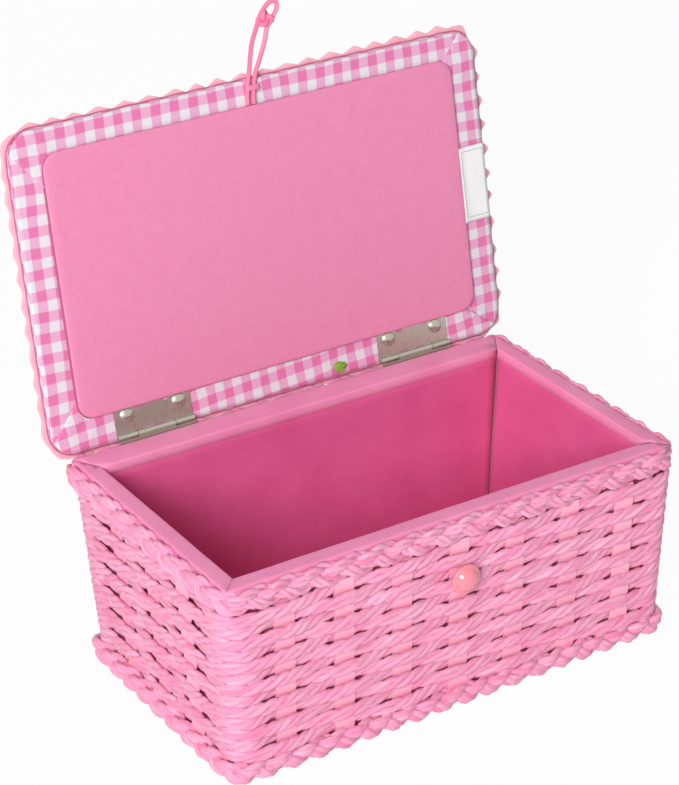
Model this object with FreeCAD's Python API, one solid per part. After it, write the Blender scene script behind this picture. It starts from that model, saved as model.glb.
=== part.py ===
import FreeCAD, Part
import math
import os

from FreeCAD import Vector

# Woven sewing box with a padded lid on two hinges. Millimetres, +Z up, +Y to the hinges.
# The origin is on the floor under the middle of the storage space.
# The lid is made closed and then swung open to the pose in which the box is stored.

# Box walls and rim
RIM_HEIGHT = 106.0           # floor to the top of the rim
CAVITY_LENGTH = 230.2        # inside, at the rim
CAVITY_DEPTH = 122.4
WALL_ANGLE = 2.63            # degrees that the walls lean outwards
RIM_WIDTH = 8.4              # front, left and right
HINGE_RIM_WIDTH = 14.0       # back
RAIL_HEIGHT = 7.0
BINDING = 0.6
LINING = 0.6
BOARD = 5.6
BASE_THICKNESS = 4.0
BASE_CORNER = 6.0
FLOOR_PAD = 1.5
SEAM = 0.1                   # between layers that are glued or sewn together
MITRE_GAP = 0.2

# Weave
STAKE_WIDTH = 11.5
STAKE_THICKNESS = 1.2
STAKE_PITCH = 31.6
CORD_THICKNESS = 2.6
WEAVE_GAP = 0.3              # between cord and stake, and cord and wall
WEAVE_ROWS = 13
ROW_GAP = 0.2
WEAVE_CORNER = 9.5           # at the middle of the stakes
CORNER_BULGE = 1.2           # cord stands out this much at the corners
CORNER_STEPS = 4
FLOAT_MARGIN = 1.0           # cord runs flat this far past a stake's edge

# Borders
FOOT_HEIGHT = 11.0
FOOT_CLEARANCE = 0.3         # the base board stands this much lower
FOOT_BULGE = 1.8             # past the lowest weave row
FOOT_ROUND = 4.2
BRAID_HEIGHT = 13.2
BRAID_DROP = 1.4             # from the rim's top
BRAID_BULGE = 4.8            # past the highest weave row
BRAID_ROUND = 3.6
BRAID_BACK_WIDTH = 3.6
BRAID_CLEARANCE = 0.3

# Lid
OPEN_ANGLE = 101.3
LID_SIDE_OVERHANG = 7.3      # past the rim
LID_FRONT_OVERHANG = 9.0
LID_BACK = 1.6               # lid edge behind the hinge line
LID_CORNER = 13.0
LID_BOARD = 3.0
LID_COVER = 0.6
PAD_EDGE = 0.6               # height of the padding's upright edge
LID_CROWN = 6.2              # rise of the padding above its edge
CROWN_REACH = 24.0           # from the edge to the flat of the crown
CROWN_STEPS = 4
HEM_TUCK = 0.6
HEM_WIDTH = 22.0
PANEL_THICKNESS = 2.8
PANEL_SIDE_BORDER = 16.0
PANEL_FRONT_BORDER = 12.4
PANEL_BACK_BORDER = 15.5
PANEL_CORNER = 7.0
CLOSED_GAP = 0.5             # lining panel above the rim when the lid is shut
TRIM_PITCH = 12.5
TRIM_THICKNESS = 1.2
TRIM_HEIGHT = 2.0            # above the lid's inner face
TRIM_VALLEY = 1.0            # past the lid's edge
TRIM_PEAK = 2.6
TAG_LENGTH = 39.0
TAG_THICKNESS = 0.5
TAG_FROM_FRONT = 59.0
KNOT_SIDE = 31.0
KNOT_INSET = 4.6
KNOT_RADIUS = 4.0
KNOT_HEIGHT = 2.4

# Hinges
HINGE_FROM_END = 55.3        # lid's end to the middle of the hinge
HINGE_SETBACK = 3.1          # hinge line behind the rim
HINGE_WIDTH = 42.0
MIDDLE_KNUCKLE = 20.6
BARREL_RADIUS = 1.6
PIN_RADIUS = 0.8
PIN_CLEARANCE = 0.05
KNUCKLE_GAP = 0.3
LEAF = 0.8
LEAF_DROP = 12.0             # body leaf down the back of the rail
LEAF_CLEARANCE = 0.15
NOTCH_RADIUS = 1.7           # in the lid leaf's far edge, between the rivets
NOTCH_SPACING = 15.0
FASTENER_SPACING = 28.6
RIVET_HEAD_RADIUS = 3.7
RIVET_HEAD_HEIGHT = 1.8
SHANK_RADIUS = 1.2
SHANK_CLEARANCE = 0.05
SCREW_HEAD_RADIUS = 2.0
SCREW_LENGTH = 9.0
SCREW_DROP = 3.6             # screw line under the top of the rail

# Button and elastic
BUTTON_RADIUS = 7.7
BUTTON_RIM = 1.6
BUTTON_HEIGHT = 5.4
BUTTON_ROW = 11              # row behind the button; it passes inside the middle stake
BUTTON_SAG = 0.8             # button centre under the middle of that row
BUTTON_STANDOFF = 1.6
THREAD_RADIUS = 1.5
ELASTIC_RADIUS = 1.15
STRAND_CLEARANCE = 0.4       # strand's end to the lining panel
TIE_LENGTH = 1.8
TIE_WALL = 0.6
TIE_FROM_EDGE = 4.0
PIVOT_PAST_EDGE = 2.9        # the loop bends this far past the lid's edge
BEND_CLEARANCE = 0.3
LOOP_KNOT_RADIUS = 4.0
# Route of the free loop in the lid's plane: to the right, and out past the bend.
LOOP_ENDS = (0.5, 4.6)
LOOP_ROUTE = [
    (1.5, 6.4), (3.6, 14.4), (7.0, 20.5), (9.2, 25.8), (13.0, 30.2), (17.0, 32.2),
    (20.6, 30.4), (20.2, 26.6), (16.3, 23.5), (12.6, 19.8), (11.2, 14.4), (8.3, 8.5),
]
LOOP_KNOT = (12.4, 24.2)
# Where the two fixed strands leave the lining panel and where they reach the bend.
ROOT_AT_PANEL = (-2.8, 0.6)
ROOT_AT_BEND = (0.2, 4.0)

# Worked out from the sizes above
LONG = CAVITY_LENGTH / 2
SHORT = CAVITY_DEPTH / 2
RAIL_TOP = RIM_HEIGHT - BINDING
RAIL_BOTTOM = RAIL_TOP - RAIL_HEIGHT
BRAID_TOP = RIM_HEIGHT - BRAID_DROP
BRAID_BOTTOM = BRAID_TOP - BRAID_HEIGHT
WEAVE_BOTTOM = FOOT_HEIGHT + ROW_GAP
ROW_PITCH = (BRAID_BOTTOM - WEAVE_BOTTOM) / WEAVE_ROWS
WALL_DEPTH = LINING + SEAM + BOARD
STAKE_DEPTH = WALL_DEPTH + 2 * WEAVE_GAP + CORD_THICKNESS + STAKE_THICKNESS / 2
CORD_SHIFT = STAKE_THICKNESS / 2 + WEAVE_GAP + CORD_THICKNESS / 2
WEAVE_DEPTH = STAKE_DEPTH + CORD_SHIFT + CORD_THICKNESS / 2
RIM_BACK = SHORT + HINGE_RIM_WIDTH
RIM_FRONT = -SHORT - RIM_WIDTH
RIM_SIDE = LONG + RIM_WIDTH
HINGE_Y = RIM_BACK + HINGE_SETBACK
LID_FACE = RIM_HEIGHT + CLOSED_GAP + PANEL_THICKNESS
HINGE_Z = LID_FACE - BARREL_RADIUS
LID_SIDE = RIM_SIDE + LID_SIDE_OVERHANG
LID_EDGE = 2 * LID_COVER + LID_BOARD + 2 * SEAM + PAD_EDGE
LID_FRONT_Y = RIM_FRONT - LID_FRONT_OVERHANG
LID_BACK_Y = HINGE_Y + LID_BACK
PANEL_FRONT_Y = LID_FRONT_Y + PANEL_FRONT_BORDER
PANEL_BACK_Y = LID_BACK_Y - PANEL_BACK_BORDER
PANEL_SIDE = LID_SIDE - PANEL_SIDE_BORDER
LEAF_FACE = LID_FACE - SEAM
RIVET_Y = PANEL_BACK_Y + SEAM + RIVET_HEAD_RADIUS
SCREW_Z = RAIL_TOP - SCREW_DROP
BUTTON_Z = WEAVE_BOTTOM + (BUTTON_ROW - 0.5) * ROW_PITCH - BUTTON_SAG
BEND_Y = LID_FRONT_Y - PIVOT_PAST_EDGE
STRAND_Z = LID_FACE - SEAM - ELASTIC_RADIUS
SIDES = ("front", "right", "back", "left")
HINGES = {"left": HINGE_FROM_END - LID_SIDE, "right": LID_SIDE - HINGE_FROM_END}


def lean(z):
    """How far the walls stand in at a height, measured from the rim."""
    return math.tan(math.radians(WALL_ANGLE)) * (RIM_HEIGHT - z)


def box(low, high):
    return Part.makeBox(high[0] - low[0], high[1] - low[1], high[2] - low[2], Vector(*low))


def rounded_wire(x0, x1, y0, y1, radius, z):
    """A rectangle with four round corners, anticlockwise, as lines and quarter arcs."""
    corners = ((x1, y0, -90), (x1, y1, 0), (x0, y1, 90), (x0, y0, 180))
    edges = []
    last = None
    first = None
    for x, y, turn in corners:
        middle = Vector(x - math.copysign(radius, x - (x0 + x1) / 2),
                        y - math.copysign(radius, y - (y0 + y1) / 2), z)
        points = []
        for part in (0, 45, 90):
            angle = math.radians(turn + part)
            points.append(middle + Vector(math.cos(angle), math.sin(angle), 0) * radius)
        if last is not None:
            edges.append(Part.makeLine(last, points[0]))
        else:
            first = points[0]
        edges.append(Part.Arc(*points).toShape())
        last = points[2]
    edges.append(Part.makeLine(last, first))
    return Part.Wire(edges)


def rounded_block(x0, x1, y0, y1, radius, z0, z1):
    face = Part.Face(rounded_wire(x0, x1, y0, y1, radius, z0))
    return face.extrude(Vector(0, 0, z1 - z0))


def polygon_wire(points, z):
    ring = [Vector(x, y, z) for x, y in points]
    return Part.makePolygon(ring + ring[:1])


def side_quad(side, inner, outer, gap):
    """Four plan corners of one mitred side between two rectangles (x, front y, back y)."""
    def corner(rect, sx, back):
        return (sx * rect[0], rect[2] if back else rect[1])
    ends = {"front": ((-1, False), (1, False)), "right": ((1, False), (1, True)),
            "back": ((1, True), (-1, True)), "left": ((-1, True), (-1, False))}[side]
    along = Vector(*{"front": (1, 0, 0), "right": (0, 1, 0),
                     "back": (-1, 0, 0), "left": (0, -1, 0)}[side]) * (gap / 2)
    points = [corner(outer, *ends[0]), corner(outer, *ends[1]), corner(inner, *ends[1]), corner(inner, *ends[0])]
    shift = (1, -1, -1, 1)
    return [(x + s * along.x, y + s * along.y) for (x, y), s in zip(points, shift)]


def wall_rect(depth, z):
    """Rectangle that stands a depth outside the storage space at a height."""
    x = LONG + depth - lean(z)
    y = SHORT + depth - lean(z)
    return (x, -y, y)


def leaning_side(side, depth, thickness, z0, z1):
    """One leaning board or panel of the walls."""
    wires = []
    for z in (z0, z1):
        quad = side_quad(side, wall_rect(depth, z), wall_rect(depth + thickness, z), MITRE_GAP)
        wires.append(polygon_wire(quad, z))
    return Part.makeLoft(wires, True, True)


def rim_side(side, skin, z0, z1):
    """One mitred length of the rim, set in by a skin on both edges."""
    inner = (LONG + skin, -SHORT - skin, SHORT + skin)
    outer = (RIM_SIDE - skin, RIM_FRONT + skin, RIM_BACK - skin)
    face = Part.Face(polygon_wire(side_quad(side, inner, outer, MITRE_GAP), z0))
    return face.extrude(Vector(0, 0, z1 - z0))


def rim_channel():
    """Room for the rails inside the bindings."""
    outside = box((-RIM_SIDE + BINDING, RIM_FRONT + BINDING, RAIL_BOTTOM - 1),
                  (RIM_SIDE - BINDING, RIM_BACK - BINDING, RAIL_TOP))
    inside = box((-LONG - BINDING, -SHORT - BINDING, RAIL_BOTTOM - 2),
                 (LONG + BINDING, SHORT + BINDING, RAIL_TOP + 1))
    return outside.cut(inside)


def cylinder_y(x, y, z, radius, length):
    return Part.makeCylinder(radius, length, Vector(x, y, z), Vector(0, 1, 0))


def screw_places():
    return [(x + side * FASTENER_SPACING / 2, SCREW_Z) for x in HINGES.values() for side in (-1, 1)]


def screw_holes():
    radius = SHANK_RADIUS + SHANK_CLEARANCE
    start = RIM_BACK + LEAF_CLEARANCE + LEAF - SCREW_LENGTH - SHANK_CLEARANCE
    return Part.makeCompound([cylinder_y(x, start, z, radius, SCREW_LENGTH + 1) for x, z in screw_places()])


def base_board():
    rect = wall_rect(WALL_DEPTH, BASE_THICKNESS)
    return rounded_block(-rect[0], rect[0], rect[1], rect[2], BASE_CORNER, 0, BASE_THICKNESS)


def floor_lining():
    rect = wall_rect(-SEAM, BASE_THICKNESS)
    return box((-rect[0], rect[1], BASE_THICKNESS + SEAM), (rect[0], rect[2], BASE_THICKNESS + FLOOR_PAD))


def wall_nodes():
    nodes = {"base_board": base_board(), "floor_lining": floor_lining()}
    wall_low = BASE_THICKNESS + SEAM
    wall_high = RAIL_BOTTOM - SEAM
    channel = rim_channel()
    holes = screw_holes()
    for side in SIDES:
        nodes["wall_board_" + side] = leaning_side(side, LINING + SEAM, BOARD, wall_low, wall_high)
        nodes["lining_" + side] = leaning_side(side, 0, LINING, wall_low, wall_high)
        nodes["rim_rail_" + side] = rim_side(side, BINDING + SEAM, RAIL_BOTTOM, RAIL_TOP - SEAM)
        nodes["rim_binding_" + side] = rim_side(side, 0, RAIL_BOTTOM, RIM_HEIGHT).cut(channel)
    nodes["rim_rail_back"] = nodes["rim_rail_back"].cut(holes)
    nodes["rim_binding_back"] = nodes["rim_binding_back"].cut(holes)
    return nodes


def stake_places(half):
    """Middles of the stakes along one side, from its start to its end."""
    straight = half - WEAVE_CORNER - STAKE_WIDTH / 2 - FLOAT_MARGIN
    steps = int(straight / STAKE_PITCH)
    return [step * STAKE_PITCH for step in range(-steps, steps + 1)]


def side_axes(side):
    """Outward and along directions of a side, going round the box anticlockwise."""
    outward = Vector(*{"front": (0, -1, 0), "right": (1, 0, 0), "back": (0, 1, 0), "left": (-1, 0, 0)}[side])
    return outward, Vector(-outward.y, outward.x, 0)


def side_halves(side, z):
    """Distance from the middle to the stakes' own plane, and half the side's length there."""
    x, _, y = wall_rect(STAKE_DEPTH, z)
    return (y, x) if side in ("front", "back") else (x, y)


def stake(side, place):
    outward, along = side_axes(side)
    corners = []
    for z, edge in ((WEAVE_BOTTOM, -1), (WEAVE_BOTTOM, 1), (BRAID_BOTTOM - ROW_GAP, 1), (BRAID_BOTTOM - ROW_GAP, -1)):
        out = side_halves(side, z)[0] + edge * STAKE_THICKNESS / 2
        corners.append(outward * out + along * (place - STAKE_WIDTH / 2) + Vector(0, 0, z))
    return Part.Face(Part.makePolygon(corners + corners[:1])).extrude(along * STAKE_WIDTH)


def side_stakes(side):
    half = side_halves(side, RIM_HEIGHT / 2)[1]
    return Part.makeCompound([stake(side, place) for place in stake_places(half)])


def row_path(row, z):
    """Plan line of one woven row: outside and inside the stakes by turns, round at the corners."""
    points = []
    count = 0
    reach = STAKE_WIDTH / 2 + FLOAT_MARGIN
    for side in SIDES:
        outward, along = side_axes(side)
        out, half = side_halves(side, z)
        for place in stake_places(side_halves(side, RIM_HEIGHT / 2)[1]):
            shift = CORD_SHIFT if (count + row) % 2 == 0 else -CORD_SHIFT
            for edge in (-reach, reach):
                points.append(outward * (out + shift) + along * (place + edge))
            count += 1
        middle = outward * (out - WEAVE_CORNER) + along * (half - WEAVE_CORNER)
        for step in range(CORNER_STEPS + 1):
            turn = math.pi / 2 * step / CORNER_STEPS
            points.append(middle + (outward * math.cos(turn) + along * math.sin(turn)) * (WEAVE_CORNER + CORNER_BULGE))
    return points


def offset_loop(points, distance):
    """Moves a closed anticlockwise line outwards, keeping its corners mitred."""
    moved = []
    for index, here in enumerate(points):
        before = here - points[index - 1]
        after = points[(index + 1) % len(points)] - here
        normals = [Vector(run.y, -run.x, 0) * (1 / run.Length) for run in (before, after)]
        moved.append(here + (normals[0] + normals[1]) * (distance / (1 + normals[0].dot(normals[1]))))
    return moved


def weave_row(row):
    low = WEAVE_BOTTOM + row * ROW_PITCH
    height = ROW_PITCH - ROW_GAP
    path = row_path(row, low + height / 2)
    loops = [offset_loop(path, side * CORD_THICKNESS / 2) for side in (1, -1)]
    wires = [polygon_wire([(p.x, p.y) for p in loop], low) for loop in loops]
    return Part.Face(wires).extrude(Vector(0, 0, height))


def border_ring(outer, inner, outer_corner, inner_corner, z0, z1, rounding):
    """A border round the box, narrower at its top and bottom. Rectangles are x, front y, back y."""
    wires = []
    for z, inset in ((z0, rounding), (z0 + rounding, 0), (z1 - rounding, 0), (z1, rounding)):
        wires.append(rounded_wire(-outer[0] + inset, outer[0] - inset, outer[1] + inset, outer[2] - inset,
                                  outer_corner - inset, z))
    hole = rounded_block(-inner[0], inner[0], inner[1], inner[2], inner_corner, z0 - 1, z1 + 1)
    return Part.makeLoft(wires, True, True).cut(hole)


def foot_braid():
    outer = wall_rect(WEAVE_DEPTH + FOOT_BULGE, WEAVE_BOTTOM)
    inner = wall_rect(WALL_DEPTH + BRAID_CLEARANCE, FOOT_HEIGHT)
    corner = WEAVE_CORNER + WEAVE_DEPTH - STAKE_DEPTH + FOOT_BULGE
    return border_ring(outer, inner, corner, BRAID_CLEARANCE, FOOT_CLEARANCE, FOOT_HEIGHT, FOOT_ROUND)


def top_braid():
    outer = wall_rect(WEAVE_DEPTH + BRAID_BULGE, BRAID_BOTTOM)
    inner_back = RIM_BACK + LEAF_CLEARANCE * 2 + LEAF
    outer = (outer[0], outer[1], inner_back + BRAID_BACK_WIDTH)
    inner = (RIM_SIDE + BRAID_CLEARANCE, RIM_FRONT - BRAID_CLEARANCE, inner_back)
    corner = WEAVE_CORNER + WEAVE_DEPTH - STAKE_DEPTH + BRAID_BULGE
    return border_ring(outer, inner, corner, BRAID_CLEARANCE, BRAID_BOTTOM, BRAID_TOP, BRAID_ROUND)


def dome(radius, rim, height):
    """A disc with a rim and a round top, standing on the XY plane."""
    rise = height - rim
    ball = (radius ** 2 + rise ** 2) / (2 * rise)
    half_turn = math.asin(radius / ball) / 2
    crest = Vector(ball * math.sin(half_turn), 0, height - ball + ball * math.cos(half_turn))
    edges = [Part.makeLine(Vector(0, 0, 0), Vector(radius, 0, 0)),
             Part.makeLine(Vector(radius, 0, 0), Vector(radius, 0, rim)),
             Part.Arc(Vector(radius, 0, rim), crest, Vector(0, 0, height)).toShape(),
             Part.makeLine(Vector(0, 0, height), Vector(0, 0, 0))]
    return Part.Face(Part.Wire(edges)).revolve(Vector(0, 0, 0), Vector(0, 0, 1), 360)


def placed(shape, place, axis):
    """Stands a shape made on the XY plane at a place, with +Z turned to an axis."""
    shape = shape.copy()
    shape.Placement = FreeCAD.Placement(Vector(*place), FreeCAD.Rotation(Vector(0, 0, 1), Vector(*axis)))
    return shape


def button_nodes():
    back = -wall_rect(WEAVE_DEPTH + ROW_GAP, BUTTON_Z)[2] - BUTTON_STANDOFF
    stake_face = -wall_rect(STAKE_DEPTH + STAKE_THICKNESS / 2 + SEAM, BUTTON_Z + THREAD_RADIUS)[2]
    return {
        "closing_button": placed(dome(BUTTON_RADIUS, BUTTON_RIM, BUTTON_HEIGHT), (0, back, BUTTON_Z), (0, -1, 0)),
        "button_thread": cylinder_y(0, back + SEAM, BUTTON_Z, THREAD_RADIUS, stake_face - back - SEAM),
    }


def lid_wire(inset, height):
    """Outline of the lid, set in from its edge, at a height over its inner face."""
    corner = max(LID_CORNER - inset, HEM_TUCK)
    return rounded_wire(-LID_SIDE + inset, LID_SIDE - inset, LID_FRONT_Y + inset, LID_BACK_Y - inset,
                        corner, LID_FACE + height)


def crown_wires(skin, base):
    """Outlines of the padded top from a base height upwards, inside a skin."""
    wires = [lid_wire(skin, base)]
    for step in range(CROWN_STEPS + 1):
        turn = math.pi / 2 * step / CROWN_STEPS
        wires.append(lid_wire(skin + CROWN_REACH * (1 - math.cos(turn)),
                              LID_EDGE + LID_CROWN * math.sin(turn) - skin))
    return wires


def rivet_places():
    return [(x + side * FASTENER_SPACING / 2, RIVET_Y) for x in HINGES.values() for side in (-1, 1)]


def rivet_holes():
    top = LID_FACE + LID_COVER + LID_BOARD + SEAM
    low = LID_FACE - SEAM - LEAF - 1
    shanks = [Part.makeCylinder(SHANK_RADIUS + SHANK_CLEARANCE, top - low, Vector(x, y, low)) for x, y in rivet_places()]
    return Part.makeCompound(shanks)


def lid_cover():
    shell = Part.makeLoft([lid_wire(HEM_TUCK, 0)] + crown_wires(0, 2 * HEM_TUCK), True, True)
    room = Part.makeLoft(crown_wires(LID_COVER, LID_COVER), True, True)
    window = rounded_block(-LID_SIDE + HEM_WIDTH, LID_SIDE - HEM_WIDTH, LID_FRONT_Y + HEM_WIDTH,
                           LID_BACK_Y - HEM_WIDTH, PANEL_CORNER, LID_FACE - 1, LID_FACE + LID_COVER + SEAM)
    return shell.cut(room).cut(window).cut(rivet_holes())


def lid_board():
    inset = LID_COVER + SEAM
    face = Part.Face(lid_wire(inset, inset))
    return face.extrude(Vector(0, 0, LID_BOARD - SEAM)).cut(rivet_holes())


def lid_pad():
    skin = LID_COVER + SEAM
    return Part.makeLoft(crown_wires(skin, LID_COVER + LID_BOARD + SEAM), True, True)


def lid_panel():
    return rounded_block(-PANEL_SIDE, PANEL_SIDE, PANEL_FRONT_Y, PANEL_BACK_Y, PANEL_CORNER,
                         LID_FACE - PANEL_THICKNESS, LID_FACE - SEAM)


def outline_point(distance, offset):
    """Point at a distance round the lid's edge, moved outwards."""
    straights = (2 * (LID_SIDE - LID_CORNER), LID_BACK_Y - LID_FRONT_Y - 2 * LID_CORNER)
    arc = LID_CORNER * math.pi / 2
    start = Vector(-LID_SIDE + LID_CORNER, LID_FRONT_Y, 0)
    for index in range(4):
        turn = index * math.pi / 2
        along = Vector(math.cos(turn), math.sin(turn), 0)
        outward = Vector(along.y, -along.x, 0)
        straight = straights[index % 2]
        if distance <= straight:
            return start + along * distance + outward * offset
        distance -= straight
        middle = start + along * straight - outward * LID_CORNER
        if distance <= arc:
            bend = distance / LID_CORNER
            spoke = outward * math.cos(bend) + along * math.sin(bend)
            return middle + spoke * (LID_CORNER + offset)
        distance -= arc
        start = middle + along * LID_CORNER
    return start + Vector(0, -offset, 0)


def rick_rack_trim():
    perimeter = 4 * (LID_SIDE - LID_CORNER) + 2 * (LID_BACK_Y - LID_FRONT_Y - 2 * LID_CORNER)
    perimeter += 2 * math.pi * LID_CORNER
    waves = round(perimeter / TRIM_PITCH)
    lift = Vector(0, 0, LID_FACE + TRIM_HEIGHT)
    valleys = [outline_point(perimeter * wave / waves, TRIM_VALLEY) + lift for wave in range(waves)]
    edges = []
    for wave, valley in enumerate(valleys):
        peak = outline_point(perimeter * (wave + 0.5) / waves, TRIM_PEAK) + lift
        edges.append(Part.Arc(valley, peak, valleys[(wave + 1) % waves]).toShape())
    inner = lid_wire(-SEAM, TRIM_HEIGHT)
    return Part.Face([Part.Wire(edges), inner]).extrude(Vector(0, 0, TRIM_THICKNESS))


def lid_tag():
    back = LID_FRONT_Y + TAG_FROM_FRONT
    return box((PANEL_SIDE + SEAM, back, LID_FACE - SEAM - TAG_THICKNESS),
               (LID_SIDE - HEM_TUCK, back + TAG_LENGTH, LID_FACE - SEAM))


def thread_knot():
    place = (KNOT_SIDE, LID_BACK_Y - KNOT_INSET, LID_FACE - SEAM)
    return placed(dome(KNOT_RADIUS, KNOT_HEIGHT / 4, KNOT_HEIGHT), place, (0, 0, -1))


def barrel(x0, x1):
    tube = Part.makeCylinder(BARREL_RADIUS, x1 - x0, Vector(x0, HINGE_Y, HINGE_Z), Vector(1, 0, 0))
    bore = Part.makeCylinder(PIN_RADIUS + PIN_CLEARANCE, x1 - x0 + 2, Vector(x0 - 1, HINGE_Y, HINGE_Z), Vector(1, 0, 0))
    return tube, bore


def hinge_lid_leaf(x):
    """Plate on the lid's inner face with the two outer knuckles."""
    half = HINGE_WIDTH / 2
    inner = MIDDLE_KNUCKLE / 2 + KNUCKLE_GAP
    low = LEAF_FACE - LEAF
    clear_y = HINGE_Y - BARREL_RADIUS - KNUCKLE_GAP
    leaf = box((x - half, PANEL_BACK_Y + SEAM, low), (x + half, clear_y, LEAF_FACE))
    bores = []
    for x0, x1 in ((x - half, x - inner), (x + inner, x + half)):
        tube, bore = barrel(x0, x1)
        leaf = leaf.fuse(tube).fuse(box((x0, clear_y - 1, low), (x1, HINGE_Y, LEAF_FACE)))
        bores.append(bore)
    for bore in bores:
        leaf = leaf.cut(bore)
    for side in (-1, 1):
        edge = Vector(x + side * NOTCH_SPACING / 2, PANEL_BACK_Y + SEAM, low - 1)
        leaf = leaf.cut(Part.makeCylinder(NOTCH_RADIUS, LEAF + 2, edge))
    return leaf.cut(rivet_holes()).removeSplitter()


def hinge_body_leaf(x):
    """Angle plate behind the back rail with the middle knuckle."""
    half = HINGE_WIDTH / 2
    middle = MIDDLE_KNUCKLE / 2
    low = HINGE_Z - BARREL_RADIUS
    front = RIM_BACK + LEAF_CLEARANCE
    tube, bore = barrel(x - middle, x + middle)
    flange = box((x - half, front, low + LEAF - LEAF_DROP), (x + half, front + LEAF, low + LEAF))
    web = box((x - middle, front, low), (x + middle, HINGE_Y, low + LEAF))
    leaf = flange.fuse(web).fuse(tube).cut(bore)
    for place, z in screw_places():
        leaf = leaf.cut(screw(place, z, SHANK_CLEARANCE))
    return leaf.removeSplitter()


def screw(x, z, clearance):
    """Countersunk screw with its head flush with the body leaf."""
    face = RIM_BACK + LEAF_CLEARANCE + LEAF
    shank = cylinder_y(x, face - SCREW_LENGTH, z, SHANK_RADIUS + clearance, SCREW_LENGTH)
    head = Part.makeCone(SHANK_RADIUS + clearance, SCREW_HEAD_RADIUS + clearance, LEAF,
                         Vector(x, face - LEAF, z), Vector(0, 1, 0))
    return shank.fuse(head)


def rivet(x, y):
    """Domed rivet through the lid leaf, the cover and the lid board."""
    top = LID_FACE + LID_COVER + LID_BOARD
    head = placed(dome(RIVET_HEAD_RADIUS, RIVET_HEAD_HEIGHT / 4, RIVET_HEAD_HEIGHT), (x, y, LEAF_FACE - LEAF), (0, 0, -1))
    shank = Part.makeCylinder(SHANK_RADIUS, top - LEAF_FACE + LEAF, Vector(x, y, LEAF_FACE - LEAF))
    return head.fuse(shank)


def hinge_pin(x):
    return Part.makeCylinder(PIN_RADIUS, HINGE_WIDTH, Vector(x - HINGE_WIDTH / 2, HINGE_Y, HINGE_Z), Vector(1, 0, 0))


def root_line(index):
    """Ends of one fixed elastic strand: at the lining panel and at the bend."""
    start = Vector(ROOT_AT_PANEL[index], PANEL_FRONT_Y - STRAND_CLEARANCE, STRAND_Z)
    return start, Vector(ROOT_AT_BEND[index], BEND_Y, STRAND_Z)


def root_strand(index, radius):
    start, end = root_line(index)
    run = end - start
    return Part.makeCylinder(radius, run.Length, start, run).fuse(Part.makeSphere(radius, end))


def elastic_root():
    return Part.makeCompound([root_strand(index, ELASTIC_RADIUS) for index in (0, 1)])


def elastic_tie():
    """Thread wrap that holds the two strands to the lid's border."""
    middle_y = LID_FRONT_Y + TIE_FROM_EDGE
    ends = []
    for index in (0, 1):
        start, end = root_line(index)
        share = (middle_y - start.y) / (end.y - start.y)
        ends.append(start.x + (end.x - start.x) * share)
    margin = ELASTIC_RADIUS + TIE_WALL
    wrap = box((ends[0] - margin, middle_y - TIE_LENGTH / 2, STRAND_Z - margin),
               (ends[1] + margin, middle_y + TIE_LENGTH / 2, LID_FACE - SEAM))
    for index in (0, 1):
        wrap = wrap.cut(root_strand(index, ELASTIC_RADIUS + SEAM / 2))
    return wrap


def cord_tube(points, radius):
    """Round tube on straight runs joined by tangent arcs, each as large as its runs allow."""
    edges = []
    start = points[0]
    radii = []
    for before, corner, after in zip(points, points[1:], points[2:]):
        run_in = before - corner
        run_out = after - corner
        reach = 0.45 * min(run_in.Length, run_out.Length)
        half_turn = (math.pi - run_in.getAngle(run_out)) / 2
        bend = reach / math.tan(half_turn)
        radii.append(bend)
        spoke_in = run_in * (1 / run_in.Length)
        spoke_out = run_out * (1 / run_out.Length)
        inward = spoke_in + spoke_out
        crest = corner + inward * ((bend / math.cos(half_turn) - bend) / inward.Length)
        edges.append(Part.makeLine(start, corner + spoke_in * reach))
        edges.append(Part.Arc(corner + spoke_in * reach, crest, corner + spoke_out * reach).toShape())
        start = corner + spoke_out * reach
    edges.append(Part.makeLine(start, points[-1]))
    path = Part.Wire(edges)
    ring = Part.Wire([Part.makeCircle(radius, points[0], points[1] - points[0])])
    tube = path.makePipeShell([ring], True, False)
    print("cord bends", [round(bend, 2) for bend in radii], "length", round(path.Length, 1),
          "volume over section times length", round(tube.Volume / (math.pi * radius ** 2 * path.Length), 4))
    return tube


def loop_point(place):
    return Vector(place[0], BEND_Y - place[1], STRAND_Z)


def elastic_nodes():
    start = ELASTIC_RADIUS + BEND_CLEARANCE
    route = [(LOOP_ENDS[0], start)] + LOOP_ROUTE + [(LOOP_ENDS[1], start)]
    return {
        "elastic_root": elastic_root(),
        "elastic_tie": elastic_tie(),
        "elastic_loop": cord_tube([loop_point(place) for place in route], ELASTIC_RADIUS),
        "elastic_knot": Part.makeSphere(LOOP_KNOT_RADIUS, loop_point(LOOP_KNOT)),
    }


def lid_nodes():
    nodes = {
        "lid_board": lid_board(),
        "lid_pad": lid_pad(),
        "lid_cover": lid_cover(),
        "lid_panel": lid_panel(),
        "rick_rack_trim": rick_rack_trim(),
        "lid_tag": lid_tag(),
        "thread_knot": thread_knot(),
        "hinge_rivets": Part.makeCompound([rivet(x, y) for x, y in rivet_places()]),
    }
    nodes.update(elastic_nodes())
    for name, x in HINGES.items():
        nodes["hinge_lid_leaf_" + name] = hinge_lid_leaf(x)
    return nodes


def opened(shape):
    """Swings a lid piece from shut to the stored pose."""
    shape = shape.copy()
    shape.rotate(Vector(0, HINGE_Y, HINGE_Z), Vector(1, 0, 0), -OPEN_ANGLE)
    return shape


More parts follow.
